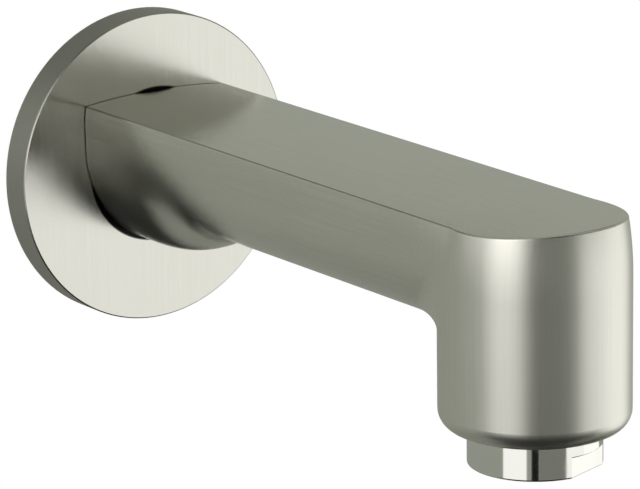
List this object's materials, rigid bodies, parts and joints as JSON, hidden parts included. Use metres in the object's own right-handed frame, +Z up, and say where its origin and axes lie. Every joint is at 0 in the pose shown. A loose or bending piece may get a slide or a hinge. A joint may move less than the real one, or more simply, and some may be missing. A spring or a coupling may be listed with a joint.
{
  "type": "wall mounted bath faucet",
  "caption": "Wall mounted bath spout: an arm with a gently crowned top on a round wall flange turns down into a cylindrical nose with a screw-in aerator.",
  "frame": {"origin": "mouth of the supply inlet, at the centre of the flange's back on the wall plane", "axes": "+Z up, +Y into the wall along the supply inlet's axis, so the spout reaches out along -Y; +X to the right for someone who looks at the wall"},
  "size_m": [0.076, 0.1784, 0.076],
  "materials": {
    "satin_nickel": "satin",
    "polished_nickel": "polished",
    "brass": "machined",
    "screw_steel": "satin",
    "black_rubber": "matte",
    "grey_foam": "matte",
    "white_acetal": "satin",
    "grey_acetal": "satin"
  },
  "bodies": {
    "spout": {"spout_body": "satin_nickel", "flange": "satin_nickel", "wall_gasket": "grey_foam", "flange_o_ring": "black_rubber", "wall_adapter": "brass", "adapter_o_ring_rear": "black_rubber", "adapter_o_ring_front": "black_rubber"},
    "set_screw": {"set_screw": "screw_steel"},
    "aerator_insert": {"aerator_washer": "black_rubber", "cartridge_shell": "white_acetal", "stream_grid": "grey_acetal", "screen_lower": "grey_acetal", "screen_upper": "grey_acetal", "jet_plate": "white_acetal", "filter_dome": "white_acetal"},
    "aerator_housing": {"aerator_housing": "polished_nickel"}
  },
  "joints": [
    {"name": "set_screw_turn", "type": "hinge", "parent": "spout", "child": "set_screw", "pos_m": [0, -0.0175, 0], "axis": [0, 0, -1], "range_deg": [0, 720]},
    {"name": "aerator_drop", "type": "slide", "parent": "spout", "child": "aerator_insert", "axis": [0, 0, -1], "range_m": [0, 0.008]},
    {"name": "aerator_turn", "type": "hinge", "parent": "aerator_insert", "child": "aerator_housing", "pos_m": [0, -0.157, 0], "axis": [0, 0, -1], "range_deg": [0, 2880]}
  ],
  "couplings": [
    {"joint": "aerator_drop", "follows": "aerator_turn", "m_per_rad": 0.00015915}
  ]
}
